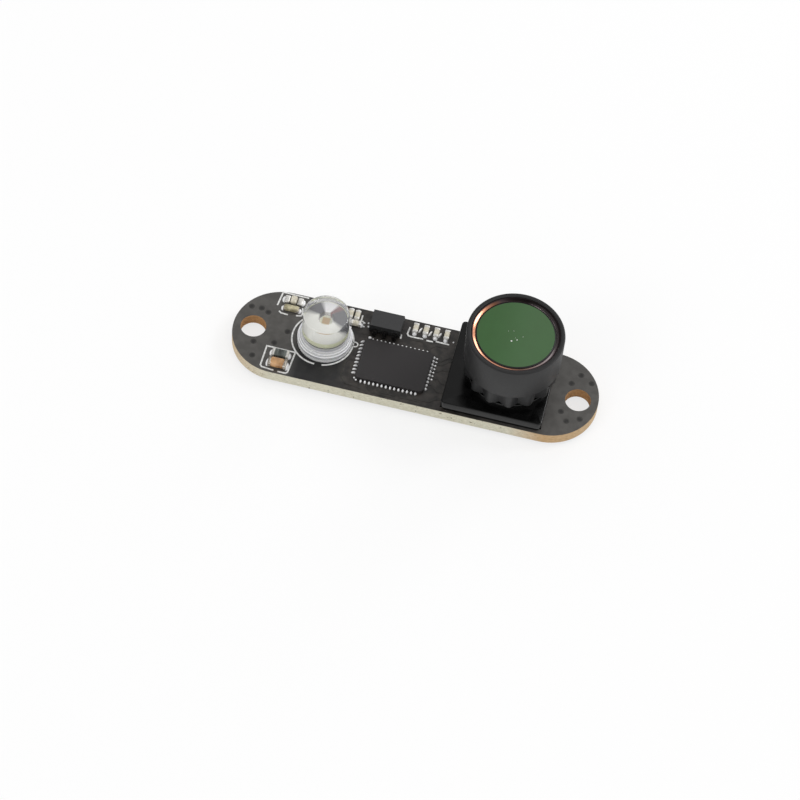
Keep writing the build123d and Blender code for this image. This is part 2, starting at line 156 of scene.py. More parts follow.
# Flags: azimuth, elevation and the angle from their middle to their edge, in degrees
FLAGS = [(-124.0, 32.0, 26.0), (-80.0, 58.0, 26.0), (8.0, 74.0, 24.0)]
FLAG_LEVEL = 0.12
FLAG_CORE = 0.6
FLOOR_SIZE = 1500.0
FLOOR_GLOW = 0.7


def add(tree, kind, inputs=None, stops=(), **settings):
    """Adds a node with its settings, and fills or links its sockets. Colours are sRGB hex, and stops are
    a ramp's."""
    made = tree.nodes.new("ShaderNode" + kind)
    for key, value in settings.items():
        setattr(made, key, value)
    for key, value in (inputs or {}).items():
        if isinstance(value, bpy.types.NodeSocket):
            tree.links.new(value, made.inputs[key])
        else:
            made.inputs[key].default_value = linear(value) if isinstance(value, str) else value
    for index, (position, colour) in enumerate(stops):
        elements = made.color_ramp.elements
        element = elements[index] if index < len(elements) else elements.new(position)
        element.position = position
        element.color = linear(colour) if isinstance(colour, str) else colour
    return made


def linear(hex_colour):
    """sRGB hex to linear RGBA."""
    parts = [int(hex_colour[i:i + 2], 16) / 255 for i in (1, 3, 5)]
    return [c / 12.92 if c <= 0.04045 else ((c + 0.055) / 1.055) ** 2.4 for c in parts] + [1.0]


def number(tree, operation, *values):
    """Works out a number from sockets or numbers."""
    return add(tree, "Math", dict(enumerate(values)), operation=operation).outputs[0]


def spread(tree, value, start, end, low=0.0, high=1.0, kind="LINEAR"):
    """Turns start to end into low to high, and holds what lies outside."""
    return add(tree, "MapRange", {"Value": value, "From Min": start, "From Max": end, "To Min": low,
                                  "To Max": high}, interpolation_type=kind).outputs[0]


def blend(tree, share, first, second):
    """The first colour at zero and the second at one."""
    return add(tree, "Mix", {"Factor": share, "A": first, "B": second}, data_type="RGBA").outputs[2]


def rays(tree, *kinds):
    """One for rays of any of the kinds, and zero for the rest."""
    path = add(tree, "LightPath")
    any_kind = path.outputs[f"Is {kinds[0]} Ray"]
    for kind in kinds[1:]:
        any_kind = number(tree, "MAXIMUM", any_kind, path.outputs[f"Is {kind} Ray"])
    return any_kind


def make_world():
    """Even pale room light. The camera and glass see it white. Mirrors see it white at the horizon and
    greyer overhead, with dark flags that give metal edges contrast."""
    world = bpy.data.worlds.new("pale_room")
    world.use_nodes = True
    tree = world.node_tree
    tree.nodes.clear()
    clear = rays(tree, "Camera", "Transmission")
    seen = rays(tree, "Camera", "Transmission", "Glossy")
    where = add(tree, "TexCoord")
    height = add(tree, "SeparateXYZ", {0: where.outputs["Generated"]})
    ceiling = spread(tree, height.outputs["X"], *CEILING_TURN, CEILING_LEFT, CEILING_RIGHT, "SMOOTHSTEP")
    shown = spread(tree, height.outputs["Z"], *SKY_RISE, 1.0, ceiling, "SMOOTHSTEP")
    for azimuth, elevation, size in FLAGS:
        near = add(tree, "VectorMath", {0: where.outputs["Generated"],
                                        1: towards(azimuth, elevation)}, operation="DOT_PRODUCT")
        shade = spread(tree, near.outputs["Value"], cos(radians(size)), cos(radians(size * FLAG_CORE)),
                       1.0, FLAG_LEVEL, "SMOOTHSTEP")
        shown = number(tree, "MULTIPLY", shown, shade)
    white = add(tree, "Mix", {"Factor": clear, "A": shown, "B": 1.0})
    level = add(tree, "Mix", {"Factor": seen, "A": ROOM_LEVEL, "B": white.outputs[0]})
    light = add(tree, "Background", {"Color": "#fdfdfd", "Strength": level.outputs[0]})
    add(tree, "OutputWorld", {"Surface": light.outputs[0]})
    bpy.context.scene.world = world


def make_soft_box(name, azimuth, elevation, distance, size, power):
    """A square soft box aimed at the board."""
    data = bpy.data.lights.new(name, "AREA")
    data.shape = "SQUARE"
    data.size = size * MM
    data.energy = power
    lamp = bpy.data.objects.new(name, data)
    bpy.context.scene.collection.objects.link(lamp)
    out = towards(azimuth, elevation)
    lamp.rotation_mode = "QUATERNION"
    lamp.rotation_quaternion = out.to_track_quat("Z", "Y")
    lamp.location = out * distance * MM


def make_floor():
    """White paper under the lowest solder, wide enough to fill every view."""
    mat = bpy.data.materials.new("white_paper")
    mat.use_nodes = True
    tree = mat.node_tree
    tree.nodes.clear()
    paper = add(tree, "BsdfDiffuse", {"Color": "#fcfcfc"})
    glow = add(tree, "Emission", {"Color": "#ffffff"})
    seen = rays(tree, "Camera", "Glossy", "Transmission")
    share = number(tree, "MULTIPLY", seen, FLOOR_GLOW)
    mixed = add(tree, "MixShader", {0: share, 1: paper.outputs[0], 2: glow.outputs[0]})
    add(tree, "OutputMaterial", {"Surface": mixed.outputs[0]})
    bm = bmesh.new()
    bmesh.ops.create_grid(bm, x_segments=1, y_segments=1, size=FLOOR_SIZE / 2)
    bmesh.ops.translate(bm, vec=(0, 0, cad_box[0].z / MM), verts=bm.verts)
    bmesh.ops.scale(bm, vec=(MM,) * 3, verts=bm.verts)
    mesh = bpy.data.meshes.new("floor")
    bm.to_mesh(mesh)
    bm.free()
    mesh.materials.append(mat)
    floor = bpy.data.objects.new("floor", mesh)
    bpy.context.scene.collection.objects.link(floor)


# Materials. Pattern scales are one over a real size.

def finished(name, surface, pattern=None):
    """A Principled material. pattern adds its nodes and returns the sockets they drive."""
    mat = bpy.data.materials.new(name)
    mat.use_nodes = True
    tree = mat.node_tree
    tree.nodes.clear()
    links = pattern(tree) if pattern else {}
    shader = add(tree, "BsdfPrincipled", {**surface, **links})
    add(tree, "OutputMaterial", {"Surface": shader.outputs[0]})
    return mat


def grained(colours, grain, relief, contrast=(0.35, 0.65), stretch=(1, 1, 1), rough=None):
    """A pattern of two close colours in grains of a real size, with a relief of a real depth."""
    def pattern(tree):
        where = add(tree, "TexCoord")
        turned = add(tree, "Mapping", {"Vector": where.outputs["Object"], "Scale": stretch})
        noise = add(tree, "TexNoise", {"Vector": turned.outputs[0], "Scale": 1 / (grain * MM),
                                       "Detail": 3.0})
        tint = add(tree, "ValToRGB", {"Fac": noise.outputs["Fac"]}, stops=zip(contrast, colours))
        bump = add(tree, "Bump", {"Height": noise.outputs["Fac"], "Distance": relief * MM})
        links = {"Base Color": tint.outputs[0], "Normal": bump.outputs[0]}
        if rough:
            links["Roughness"] = spread(tree, noise.outputs["Fac"], 0.3, 0.7, *rough)
        return links
    return pattern


MASK_MOTTLE = 0.7
MASK_ZONES = [(-11.6, "#4a4845", "#54524f"), (-10.4, "#1a1a1b", "#232324"), (-6.8, "#1b1b1c", "#262525"),
              (-5.6, "#211e1c", "#3b3632"), (3.4, "#211e1c", "#3b3632"), (12.6, "#4b4946", "#555350")]
MASK_PEEL = 0.16
# How scorched the routed edge is, by its share of the board's length
EDGE_BURN = [(0.0, 0.75), (0.14, 0.0), (0.78, 0.0), (0.88, 1.0), (1.0, 0.85)]
FIBRE = 0.09
FLAKE = 0.35


def share_along(x):
    """Place along the board as a share of its length, from 0 at -x to 1 at +x."""
    return x / BOARD_LENGTH + 0.5


def solder_mask():
    """Black solder mask on FR-4: satin mask on both faces, paler towards both ends and darkest round
    the lamp. The routed edge is cream where glass fibres show and scorched tan at the round ends, and
    the drilled holes are resin brown."""
    def pattern(tree):
        where = add(tree, "TexCoord")
        spot = where.outputs["Object"]
        mottle = add(tree, "TexNoise", {"Vector": spot, "Scale": 1 / (MASK_MOTTLE * MM), "Detail": 4.0})
        fibres = add(tree, "Mapping", {"Vector": spot, "Scale": (0.25, 0.25, 1.6)})
        weave = add(tree, "TexNoise", {"Vector": fibres.outputs[0], "Scale": 1 / (FIBRE * MM),
                                       "Detail": 5.0, "Roughness": 0.65})
        cream = add(tree, "ValToRGB", {"Fac": weave.outputs["Fac"]},
                    stops=[(0.3, "#8f8a70"), (0.45, "#cfcbb6"), (0.7, "#e6e3d2")])
        tan = add(tree, "ValToRGB", {"Fac": weave.outputs["Fac"]},
                  stops=[(0.3, "#a5865a"), (0.6, "#cdab80")])
        brown = add(tree, "ValToRGB", {"Fac": weave.outputs["Fac"]},
                    stops=[(0.3, "#9c6f45"), (0.6, "#c49c6c")])
        flakes = add(tree, "TexNoise", {"Vector": spot, "Scale": 1 / (FLAKE * MM), "Detail": 2.0})
        speck = number(tree, "GREATER_THAN", flakes.outputs["Fac"], 0.7)
        flecked = blend(tree, speck, cream.outputs[0], "#6b6450")
        sides = add(tree, "SeparateXYZ", {0: spot})
        along = spread(tree, sides.outputs["X"], -BOARD_LENGTH / 2 * MM, BOARD_LENGTH / 2 * MM)
        thin = add(tree, "ValToRGB", {"Fac": along}, stops=[
            (share_along(x), dark) for x, dark, _ in MASK_ZONES])
        thick = add(tree, "ValToRGB", {"Fac": along}, stops=[
            (share_along(x), pale) for x, _, pale in MASK_ZONES])
        blotch = spread(tree, mottle.outputs["Fac"], 0.38, 0.62)
        mask = blend(tree, blotch, thin.outputs[0], thick.outputs[0])
        burnt = add(tree, "ValToRGB", {"Fac": along},
                    stops=[(share, (burn,) * 4) for share, burn in EDGE_BURN])
        across = number(tree, "ABSOLUTE", sides.outputs["X"])
        folded = add(tree, "CombineXYZ", {"X": across, "Y": sides.outputs["Y"]})
        reach = add(tree, "VectorMath", {0: folded.outputs[0], 1: (HOLE_SPACING / 2 * MM, 0, 0)},
                    operation="DISTANCE")
        in_hole = number(tree, "LESS_THAN", reach.outputs["Value"], (HOLE_RADIUS + 0.1) * MM)
        edge = blend(tree, burnt.outputs["Color"], flecked, tan.outputs[0])
        cut = blend(tree, in_hole, edge, brown.outputs[0])
        facing = add(tree, "SeparateXYZ", {0: where.outputs["Normal"]})
        wall = number(tree, "LESS_THAN", number(tree, "ABSOLUTE", facing.outputs["Z"]), 0.5)
        rough = add(tree, "Mix", {"Factor": wall, "A": 0.42, "B": 0.85})
        peel = add(tree, "TexNoise", {"Vector": spot, "Scale": 1 / (MASK_PEEL * MM), "Detail": 2.0})
        flat = add(tree, "Bump", {"Height": peel.outputs["Fac"], "Distance": 0.004 * MM})
        ragged = add(tree, "Bump", {"Height": weave.outputs["Fac"], "Distance": 0.04 * MM})
        relief = add(tree, "Mix", {"Factor": wall, "A": flat.outputs[0], "B": ragged.outputs[0]},
                     data_type="VECTOR")
        return {"Base Color": blend(tree, wall, mask, cut), "Roughness": rough.outputs[0],
                "Normal": relief.outputs[1]}
    return finished("black_solder_mask_on_fr4", {"IOR": 1.5}, pattern)


# The same solder mask where it lies over a track
MASK_FILM = finished("black_solder_mask", {"Roughness": 0.4, "IOR": 1.5},
                     grained(("#24221f", "#33302c"), MASK_MOTTLE, 0.003))
# Solder mask at a plugged via: painted darkest in the middle and dark in the ring round it, as painted shade
# where the mask sinks into the hole
VIA_MIDDLE_PAINTED_SHADE = finished("via_middle_painted_shade", {"Roughness": 0.6, "IOR": 1.5},
                      grained(("#1c1b1a", "#272624"), 0.2, 0.01))
VIA_RING_PAINTED_SHADE = finished("via_ring_painted_shade", {"Roughness": 0.6, "IOR": 1.5},
                    grained(("#302e2c", "#3b3936"), 0.2, 0.01))
# Matt tin plating on end caps: pale grey with a soft sheen
TIN_PLATE = finished("matt_tin_plate", {"Metallic": 0.7},
                     grained(("#d2d0ca", "#f4f2ee"), 0.08, 0.003, rough=(0.28, 0.42)))
# Tin on the end caps, painted grey-brown and darker than plain tin as painted shade, with sharp glints on its
# curves
BROWN_TIN_PAINTED_SHADE = finished("tin_plate_painted_shade_brown", {"Metallic": 0.7},
                      grained(("#6b6258", "#ded6ca"), 0.35, 0.006, rough=(0.14, 0.26)))
# Tin plating painted dark grey as painted shade, with a weak sheen
GREY_TIN_PAINTED_SHADE = finished("tin_plate_painted_shade_grey", {"Metallic": 1.0},
                    grained(("#2e2d2d", "#4c4a49"), 0.12, 0.004, rough=(0.3, 0.45)))
# White matt rings along the lamp's edges: painted highlights
LAMP_EDGE_PAINTED_HIGHLIGHT = finished("white_epoxy_painted_highlight", {"Roughness": 0.45}, grained(("#eeeef4", "#ffffff"), 0.3, 0.004))
# Flat black over the window's bevel: painted shade, which also hides the bevel's reflections
BEVEL_PAINTED_SHADE = finished("window_bevel_painted_shade", {"IOR": 1.5},
                      grained(("#060607", "#0c0c0d"), 0.2, 0.002, rough=(0.5, 0.6)))

REFLECTOR_SHOULDER = 2.2
# Painted reflections and painted shade round the reflector's shoulder, by share of a turn
REFLECTOR_PAINTED_REFLECTIONS = [(0.44, "#fbfbf2"), (0.49, "#191a28"), (0.64, "#191a28"), (0.66, "#743a36"),
                   (0.685, "#743a36"), (0.71, "#ffffff"), (0.79, "#ffffff"), (0.83, "#191a28"),
                   (0.92, "#191a28"), (0.97, "#fbfbf2")]
# Colours of the frost under the lamp, by distance from its axis: white rings are painted highlights and dark
# ones painted shade
FROST_PAINTED_LIGHT_RINGS = [(0.5, "#5c5c68"), (0.6, "#ffffff"), (0.8, "#d6d6e0"), (0.98, "#e2e2ea"), (1.08, "#ffffff"),
               (1.26, "#ffffff"), (1.33, "#4c4c54"), (1.4, "#ffffff"), (1.64, "#ffffff"), (1.78, "#a6a6b4"),
               (1.92, "#ffffff"), (2.1, "#ffffff"), (2.2, "#7c7c8a"), (2.3, "#ffffff")]
# Painted reflections and painted shade round the window's ring, by share of a turn
RING_PAINTED_REFLECTIONS = [(0.0, "#d29274"), (0.22, "#d29274"), (0.3, "#74503f"), (0.42, "#a09496"), (0.68, "#a09496"),
              (0.74, "#4e4344"), (0.84, "#4e4344"), (0.87, "#74503f"), (0.93, "#d29274")]


def from_axis(tree, at):
    """Place measured from an upright axis."""
    where = add(tree, "TexCoord")
    return add(tree, "VectorMath", {0: where.outputs["Object"], 1: (at.x * MM, at.y * MM, 0)},
               operation="SUBTRACT").outputs[0]


def turn_share(tree, place):
    """Angle round an axis as a share of a turn: 0 at -x, a quarter at -y, half at +x."""
    sides = add(tree, "SeparateXYZ", {0: place})
    return spread(tree, number(tree, "ARCTAN2", sides.outputs["Y"], sides.outputs["X"]), -pi, pi)


def distance_out(tree, place):
    """Distance from an upright axis."""
    flat = add(tree, "VectorMath", {0: place, 1: (1, 1, 0)}, operation="MULTIPLY")
    return add(tree, "VectorMath", {0: flat.outputs[0]}, operation="LENGTH").outputs["Value"]


def cast_reflector():
    """White reflector cast round the cup, tinted yellow-green by phosphor at its sides. Its shoulder is
    painted by angle with bright and dark patches, dark mostly at the back: painted reflections and painted
    shade."""
    def pattern(tree):
        place = from_axis(tree, LED_AT)
        sides = add(tree, "SeparateXYZ", {0: place})
        painted_reflections = add(tree, "ValToRGB", {"Fac": turn_share(tree, place)}, stops=REFLECTOR_PAINTED_REFLECTIONS)
        high = spread(tree, sides.outputs["Z"], (TOP + REFLECTOR_SHOULDER - 0.05) * MM,
                      (TOP + REFLECTOR_SHOULDER + 0.05) * MM)
        return {"Base Color": blend(tree, high, "#eff2c8", painted_reflections.outputs[0])}
    return finished("phosphor_tinted_silicone_painted_reflections", {"Roughness": 0.35}, pattern)


def frosted_foot():
    """Underside of the lamp's flange, left matt by its mould: a cool white frost in rings of painted
    highlight and painted shade, which lean inwards with height and waver a little."""
    lean = 0.8
    waver = 0.14 * MM

    def pattern(tree):
        place = from_axis(tree, LED_AT)
        height = add(tree, "SeparateXYZ", {0: place})
        drop = number(tree, "MULTIPLY_ADD", height.outputs["Z"], -lean, lean * TOP * MM)
        reach = number(tree, "ADD", distance_out(tree, place), drop)
        sway = add(tree, "TexNoise", {"Vector": place, "Scale": 1 / (1.6 * MM), "Detail": 1.0})
        bent = number(tree, "ADD", reach, spread(tree, sway.outputs["Fac"], 0, 1, -waver, waver))
        inner, outer = FROST_PAINTED_LIGHT_RINGS[0][0], FROST_PAINTED_LIGHT_RINGS[-1][0]
        rings = add(tree, "ValToRGB", {"Fac": spread(tree, bent, inner * MM, outer * MM)}, stops=[
            ((radius - inner) / (outer - inner), colour) for radius, colour in FROST_PAINTED_LIGHT_RINGS])
        return {"Base Color": rings.outputs["Color"]}
    return finished("frosted_epoxy_painted_light_rings", {"Roughness": 0.5}, pattern)


def phosphor():
    """Yellow phosphor grains in silicone, deep over the square die and thin and pale round it."""
    def pattern(tree):
        sides = add(tree, "VectorMath", {0: from_axis(tree, LED_AT)}, operation="ABSOLUTE")
        place = add(tree, "SeparateXYZ", {0: sides.outputs[0]})
        square = number(tree, "MAXIMUM", place.outputs["X"], place.outputs["Y"])
        depth = spread(tree, square, 0.26 * MM, 0.36 * MM)
        return {"Base Color": blend(tree, depth, "#cfae78", "#eef0d4")}
    return finished("yellow_phosphor_silicone", {"Roughness": 0.45}, pattern)


def regulator_compound():
    """Black moulding compound of the regulator: grey on top, and painted near black at its sides as painted
    shade.
    """
    def pattern(tree):
        links = grained(("#2a2a2b", "#343435"), 0.07, 0.004, rough=(0.55, 0.7))(tree)
        where = add(tree, "TexCoord")
        facing = add(tree, "SeparateXYZ", {0: where.outputs["Normal"]})
        level = spread(tree, facing.outputs["Z"], 0.5, 0.8)
        # Near black at the sides: painted shade
        links["Base Color"] = blend(tree, level, "#0b0b0c", links["Base Color"])
        return links
    return finished("mould_compound_sides_painted_shade", {"IOR": 1.55}, pattern)


def copper_ring():
    """Thin turned ring of copper in painted reflections: bright, brown and dark patches by angle, and darker
    outside.
    """
    def pattern(tree):
        place = from_axis(tree, LENS_AT)
        tint = add(tree, "ValToRGB", {"Fac": turn_share(tree, place)}, stops=RING_PAINTED_REFLECTIONS)
        outer = spread(tree, distance_out(tree, place), (GLASS_CLEAR_RADIUS + 0.24) * MM,
                       (GLASS_CLEAR_RADIUS + 0.32) * MM)
        return {"Base Color": blend(tree, outer, tint.outputs[0], "#3a3233")}
    return finished("copper_ring_painted_reflections", {"Metallic": 1.0, "Roughness": 0.2}, pattern)


def fired_ceramic(name, low, high, gloss, grain=0.18, stretch=(1, 1, 1)):
    """Fired ceramic of a chip part: fine grain under a slight glaze."""
    return finished(name, {"IOR": 1.6}, grained(
        (low, high), grain, 0.003, contrast=(0.3, 0.7), stretch=stretch, rough=(gloss, gloss + 0.12)))


MATERIALS = {
    "board_mask": solder_mask(),
    # Screen-printed white epoxy ink: matt, thick in places and thin in others
    "white_ink": finished("white_screen_ink", {"Roughness": 0.55}, grained(
        ("#c9c9c7", "#f0f0ee"), 0.25, 0.01)),
    # Tin solder after reflow, near white all over as a painted highlight, with a faint crystalline ripple
    "solder": finished("tin_solder_painted_highlight", {"Metallic": 0.12}, grained(
        ("#f4f4f6", "#ffffff"), 0.12, 0.004, rough=(0.2, 0.34))),
    # Cast clear epoxy, polished by its mould: clear with a faint milky haze
    "clear_epoxy": finished("clear_cast_epoxy", {
        "Base Color": "#fcfcfd", "Roughness": 0.0, "IOR": 1.53, "Transmission Weight": 0.86}),
    # Silver-plated steel strip, stamped: bright with fine rolling lines
    "silver_lead_frame": finished("silver_plated_strip", {"Metallic": 1.0}, grained(
        ("#d9d7d2", "#f2f1ee"), 0.05, 0.002, stretch=(1, 1, 0.15), rough=(0.16, 0.28))),
    "phosphor": phosphor(),
    # Black epoxy moulding compound: silica-filled, so a dull fine grain
    "mould_compound": finished("epoxy_mould_compound", {"IOR": 1.55}, grained(
        ("#1d1a1b", "#262223"), 0.07, 0.004, rough=(0.55, 0.7))),
    "tinned_copper": TIN_PLATE,
    "tinned_ends": TIN_PLATE,
    # Black glass-filled polyamide, moulded in a polished tool: glossy with faint flow
    "holder_plastic": finished("glossy_black_polyamide", {"IOR": 1.53, "Specular IOR Level": 0.33}, grained(
        ("#050505", "#090909"), 0.9, 0.001, rough=(0.17, 0.23))),
    # Black barrel, turned and blasted: satin with a fine tooth
    "barrel_plastic": finished("satin_black_barrel", {"IOR": 1.5, "Specular IOR Level": 0.5}, grained(
        ("#0e0e0f", "#141415"), 0.1, 0.003, rough=(0.48, 0.58))),
    # Window glass under a green interference coating: an even green with a polished face
    "coated_glass": finished("green_coated_glass", {"Roughness": 0.04, "IOR": 1.52}, grained(
        ("#36592f", "#385d32"), 2.5, 0.0)),
    "copper_ring": copper_ring(),
    # Polished optical glass: clear
    "optical_glass": finished("polished_optical_glass", {
        "Roughness": 0.0, "IOR": 1.52, "Transmission Weight": 1.0}),
    # Glass that stops infrared light: clear and blue-green
    "filter_glass": finished("infrared_filter_glass", {
        "Base Color": "#bfe6e2", "Roughness": 0.0, "IOR": 1.52, "Transmission Weight": 1.0}),
    "sensor_ceramic": fired_ceramic("dark_alumina", "#453f3a", "#514a44", 0.5),
    "brown_ceramic": fired_ceramic("brown_titanate_ceramic", "#8c6238", "#d6a878", 0.12, grain=0.9),
    "olive_ceramic": fired_ceramic("olive_titanate_ceramic", "#5c553c", "#d2c9a6", 0.2, grain=0.7),
    "pale_ceramic": fired_ceramic("pale_titanate_ceramic", "#bfb8a2", "#e4dece", 0.3),
    # Black glazed resistor, with pale streaks across it that are painted highlights
    "dark_resistor": fired_ceramic("black_resistor_painted_highlight_streaks", "#242725", "#6d736e", 0.2, grain=0.3,
                                   stretch=(1, 0.2, 0.2)),
}
CAST_REFLECTOR = cast_reflector()
FROSTED_FOOT = frosted_foot()
REGULATOR_COMPOUND_PAINTED_SHADE = regulator_compound()


# Making pieces

CREASE = 32.0


def finish_piece(name, bm, slot, *nodes, look=None, crease=CREASE):
    """Welds a mesh in millimetres, turns it to metres and puts it on the board's body."""
    bmesh.ops.remove_doubles(bm, verts=bm.verts, dist=WELD)
    bmesh.ops.dissolve_degenerate(bm, edges=bm.edges, dist=WELD / 4)
    bmesh.ops.recalc_face_normals(bm, faces=bm.faces)
    bmesh.ops.scale(bm, vec=(MM,) * 3, verts=bm.verts)
    mesh = bpy.data.meshes.new(name)
    bm.to_mesh(mesh)
    bm.free()
    mesh.materials.append(look or MATERIALS[slot])
    mesh.shade_smooth()
    mesh.set_sharp_from_angle(angle=radians(crease))
    piece = bpy.data.objects.new(name, mesh)
    bpy.context.scene.collection.objects.link(piece)
    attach(piece, "root")
    if nodes:
        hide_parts(*nodes)
    return piece


def lathe(bm, centre, profile, closed=True, steps=LATHE_STEPS):
    """Spins (radius, height) points about a vertical axis through centre and returns the new vertices."""
    start = len(bm.verts)
    verts = [bm.verts.new((centre[0] + r, centre[1], z)) for r, z in profile]
    pairs = list(zip(verts, verts[1:] + verts[:1])) if closed else list(zip(verts, verts[1:]))
    edges = [bm.edges.new(pair) for pair in pairs]
    bmesh.ops.spin(bm, geom=verts + edges, cent=(centre[0], centre[1], 0), axis=(0, 0, 1),
                   angle=2 * pi, steps=steps, use_merge=True)
    bm.verts.ensure_lookup_table()
    made = bm.verts[start:]
    bmesh.ops.remove_doubles(bm, verts=made, dist=WELD)
    bm.verts.ensure_lookup_table()
    return bm.verts[start:]


def sharp_edges(verts, degrees=30.0):
    """Edges between the given vertices whose faces meet at more than an angle."""
    inside = set(verts)
    edges = {edge for vert in verts for edge in vert.link_edges if edge.other_vert(vert) in inside}
    return [edge for edge in edges if len(edge.link_faces) == 2 and edge.calc_face_angle() > radians(degrees)]


def soften(bm, edges, width, segments=2):
    """Rounds edges by a real width."""
    if edges:
        bmesh.ops.bevel(bm, geom=edges, offset=width, offset_type="OFFSET", segments=segments,
                        profile=0.5, affect="EDGES", material=-1, clamp_overlap=True)


def block(bm, low, high, edge=0.0, segments=2, turn=None):
    """A box between two corners with rounded edges. turn is a matrix about its own middle."""
    low, high = Vector(low), Vector(high)
    size = high - low
    place = Matrix.Translation((low + high) / 2) @ (turn or Matrix()) @ Matrix.Diagonal((*size, 1))
    verts = bmesh.ops.create_cube(bm, size=1.0, matrix=place)["verts"]
    if edge:
        soften(bm, list({e for v in verts for e in v.link_edges}), edge, segments)


# Lamp

LED_FLANGE_RADIUS = (LED_HIGH.x - LED_LOW.x) / 2
LED_FLANGE_HEIGHT = 1.0
LED_FLANGE_STEP = 0.14
LED_GROOVE_DEPTH = 0.07
LED_FOOT_RADIUS = 2.2
LED_HEAD_RADIUS = 2.15
LED_RIM_HEIGHT = 4.25
LED_SHOULDER = 0.18
LED_DOME_RISE = LED_HIGH.z - TOP - LED_RIM_HEIGHT
SHOULDER_STEPS = 6
DOME_STEPS = 9
# Radius and height, over the foot's radius and the flange's height
NECK_FILLET = [(0.09, 0.05), (0.03, 0.14), (0.0, 0.35), (0.0, 0.4)]
# Radius and height over the board
REFLECTOR_PROFILE = [(0.64, 3.0), (0.72, 3.0), (1.0, 2.78), (1.92, REFLECTOR_SHOULDER), (1.98, 2.05),
                     (1.94, 1.6), (0.3, 1.6), (0.3, 1.9), (0.64, 1.9)]
FROST_PROFILE = [(0.4, 0.01), (LED_FLANGE_RADIUS - 0.12, 0.01), (LED_FLANGE_RADIUS - 0.2, 0.08), (2.0, 0.12),
                 (1.62, 0.5), (1.55, 1.2), (0.4, 1.2)]
# Painted highlight rings: radius, height over the board, half the width and half the thickness
LAMP_EDGE_HIGHLIGHT_RINGS = [(2.53, 0.05, 0.045, 0.05), (2.5, 0.72, 0.07, 0.045), (2.38, 0.99, 0.06, 0.03),
              (2.23, 1.13, 0.03, 0.03)]


def make_lamp():
    """Clear moulded lamp body with a rolled flange, a rounded shoulder and a low dome, and what shows in
    it: the cast reflector, the frosted foot and white rings on its edges, which are painted highlights."""
    bm = bmesh.new()
    brow = LED_HEAD_RADIUS - LED_SHOULDER
    sphere = (brow ** 2 + LED_DOME_RISE ** 2) / (2 * LED_DOME_RISE)
    edge, top = LED_FLANGE_RADIUS, LED_FLANGE_HEIGHT
    inner = edge - LED_FLANGE_STEP
    groove = edge - LED_GROOVE_DEPTH
    profile = [(0, 0), (edge, 0), (edge, 0.24), (groove, 0.3), (groove, 0.42), (edge, 0.48),
               (edge, top - 0.3), (inner, top - 0.22), (inner, top), (inner - 0.06, top)]
    profile += [(LED_FOOT_RADIUS + r, top + h) for r, h in NECK_FILLET]
    profile += [(LED_HEAD_RADIUS, LED_RIM_HEIGHT - LED_SHOULDER - 0.04),
                (LED_HEAD_RADIUS, LED_RIM_HEIGHT - LED_SHOULDER)]
    for step in range(1, SHOULDER_STEPS + 1):
        angle = pi / 2 * step / SHOULDER_STEPS
        profile.append((brow + LED_SHOULDER * cos(angle), LED_RIM_HEIGHT + LED_SHOULDER * (sin(angle) - 1)))
    for step in range(1, DOME_STEPS + 1):
        radius = brow * (1 - step / DOME_STEPS)
        rise = (sphere ** 2 - radius ** 2) ** 0.5 - (sphere - LED_DOME_RISE)
        profile.append((radius, LED_RIM_HEIGHT + rise))
    verts = lathe(bm, LED_AT, [(r, TOP + z) for r, z in profile], closed=False)
    soften(bm, sharp_edges(verts, 35), 0.04, 3)
    finish_piece("lamp_body", bm, "clear_epoxy", "led_body")
    bm = bmesh.new()
    verts = lathe(bm, LED_AT, [(r, TOP + z) for r, z in REFLECTOR_PROFILE])
    soften(bm, sharp_edges(verts, 30), 0.05, 2)
    finish_piece("lamp_reflector", bm, "silver_lead_frame", look=CAST_REFLECTOR)
    bm = bmesh.new()
    lathe(bm, LED_AT, [(r, TOP + z) for r, z in FROST_PROFILE])
    finish_piece("lamp_foot_frost_painted_light", bm, "clear_epoxy", look=FROSTED_FOOT)
    bm = bmesh.new()
    turns = [2 * pi * i / 10 for i in range(10)]
    for radius, height, width, thickness in LAMP_EDGE_HIGHLIGHT_RINGS:
        lathe(bm, LED_AT, [(radius + width * cos(a), TOP + height + thickness * sin(a)) for a in turns])
    finish_piece("lamp_edges_painted_highlight", bm, "clear_epoxy", look=LAMP_EDGE_PAINTED_HIGHLIGHT, crease=80)


# Lens

GLASS_LOW, GLASS_HIGH = box_mm("front_glass")
RING_LOW, RING_HIGH = box_mm("glass_ring")
HEAD_RADIUS = (LENS_HIGH.x - LENS_LOW.x) / 2
RIM_RADIUS = 4.08
GRIP_TEETH = 14
GRIP_TIP_RADIUS = 4.325
GRIP_ROOT_RADIUS = 3.8
GRIP_PHASE = radians(22.1)
GRIP_TIP_SHARE = 0.16
THREAD_END = 0.95
THREAD_RADIUS = 3.5
THREAD_PITCH = 0.35
THREAD_DEPTH = 0.2
GRIP_BOTTOM = 2.2
HEAD_BOTTOM = 4.1
HEAD_RELIEF = 0.14
HEAD_EDGE = 0.11
RIM_EDGE = 0.06
FOOT_EDGE = 0.08
LOWER_BORE = 2.3
# Seats in the bore, from the rim down: radius and height over the board
BORE_STEPS = [(RIM_RADIUS, 6.8), (3.4, 6.8), (3.4, 5.0), (1.6, 5.0), (1.6, 4.4), (LOWER_BORE, 4.4)]


def grip_radius(angle):
    """Radius of the toothed grip at an angle: straight flanks between root and tip."""
    step = 2 * pi / GRIP_TEETH
    share = abs(((angle - GRIP_PHASE) / step + 0.5) % 1.0 - 0.5) * 2
    flank = min(1.0, max(0.0, (share - GRIP_TIP_SHARE) / (1 - GRIP_TIP_SHARE)))
    return GRIP_TIP_RADIUS + (GRIP_ROOT_RADIUS - GRIP_TIP_RADIUS) * flank


